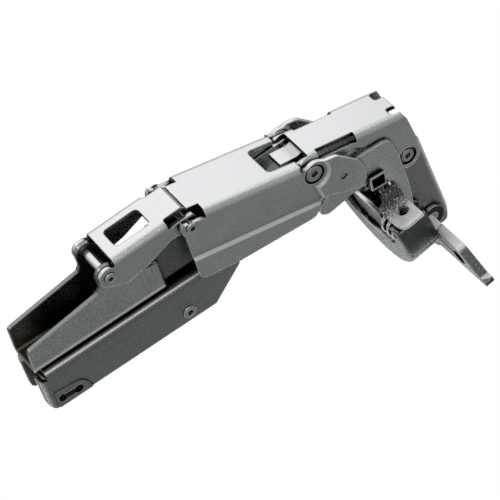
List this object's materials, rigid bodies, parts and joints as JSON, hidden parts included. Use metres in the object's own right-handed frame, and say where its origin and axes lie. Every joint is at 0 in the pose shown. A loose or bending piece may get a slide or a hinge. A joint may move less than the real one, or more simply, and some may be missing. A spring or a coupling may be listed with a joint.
{
  "type": "concealed cup hinge",
  "caption": "Concealed cabinet hinge with a wide opening angle: folded nickel-plated links join a clip-on arm to a round cup with two screw ears, shown open.",
  "frame": {"origin": "centre of the cross pin in the arm base that hooks on the mounting plate", "axes": "+X along the arm towards the door, +Y along the pins, +Z away from the cabinet side"},
  "size_m": [0.1157, 0.0676, 0.0598],
  "materials": {
    "arm_nickel": "fine-grained nickel plate",
    "cover_nickel": "satin nickel plate",
    "link_nickel": "satin nickel plate",
    "end_nickel": "satin nickel plate",
    "cup_nickel": "fine-grained nickel plate",
    "bright_nickel": "bright nickel plate",
    "rivet_nickel": "turned, nickel plated"
  },
  "bodies": {
    "arm": {"arm_channel": "arm_nickel", "arm_nose": "arm_nickel", "arm_base": "arm_nickel", "base_rivets": "rivet_nickel", "plate_pin": "rivet_nickel", "rear_catch": "rivet_nickel", "rear_pin": "rivet_nickel", "nose_pin": "rivet_nickel"},
    "window_link": {"window_link": "link_nickel", "top_pin": "rivet_nickel"},
    "inner_link": {"inner_link": "link_nickel"},
    "cover": {"cover_channel": "cover_nickel", "front_pin": "rivet_nickel", "cam_pins": "rivet_nickel"},
    "cover_link": {"cover_link": "cover_nickel", "short_pin": "rivet_nickel"},
    "end_link": {"end_link": "end_nickel"},
    "cam_plates": {"cam_plate_near": "cover_nickel", "cam_plate_far": "cover_nickel", "guide_pin": "rivet_nickel"},
    "cup": {"cup": "cup_nickel", "cup_bracket": "bright_nickel", "end_pin": "rivet_nickel"}
  },
  "joints": [
    {"name": "rear_fold", "type": "hinge", "parent": "arm", "child": "window_link", "pos_m": [-0.0152, 0, 0.0253], "axis": [0, -1, 0], "range_deg": [0, 152]},
    {"name": "top_fold", "type": "hinge", "parent": "window_link", "child": "cover", "pos_m": [0.00728, 0, 0.02628], "axis": [0, -1, 0], "range_deg": [-152, 0]},
    {"name": "nose_fold", "type": "hinge", "parent": "arm", "child": "inner_link", "pos_m": [0.01847, 0, 0.01734], "axis": [0, -1, 0], "range_deg": [0, 152]},
    {"name": "front_fold", "type": "hinge", "parent": "cover", "child": "cover_link", "pos_m": [0.04095, 0, 0.01832], "axis": [0, -1, 0], "range_deg": [0, 69]},
    {"name": "door_fold", "type": "hinge", "parent": "cover_link", "child": "end_link", "pos_m": [0.06694, 0, 0.00314], "axis": [0, -1, 0], "range_deg": [-54, 0]},
    {"name": "cup_turn", "type": "hinge", "parent": "end_link", "child": "cup", "pos_m": [0.06976, 0, -0.0216], "axis": [0, -1, 0], "range_deg": [0, 155]},
    {"name": "cam_fold", "type": "hinge", "parent": "cover", "child": "cam_plates", "pos_m": [0.04781, 0, 0.013], "axis": [0, -1, 0], "range_deg": [0, 52]}
  ],
  "couplings": [
    {"joint": "top_fold", "follows": "rear_fold", "ratio": -1},
    {"joint": "nose_fold", "follows": "rear_fold", "ratio": 1},
    {"joint": "front_fold", "follows": "rear_fold", "ratio": 0.45395},
    {"joint": "door_fold", "follows": "rear_fold", "ratio": -0.35526},
    {"joint": "cup_turn", "follows": "rear_fold", "ratio": 1.0197},
    {"joint": "cam_fold", "follows": "rear_fold", "ratio": 0.34211}
  ]
}
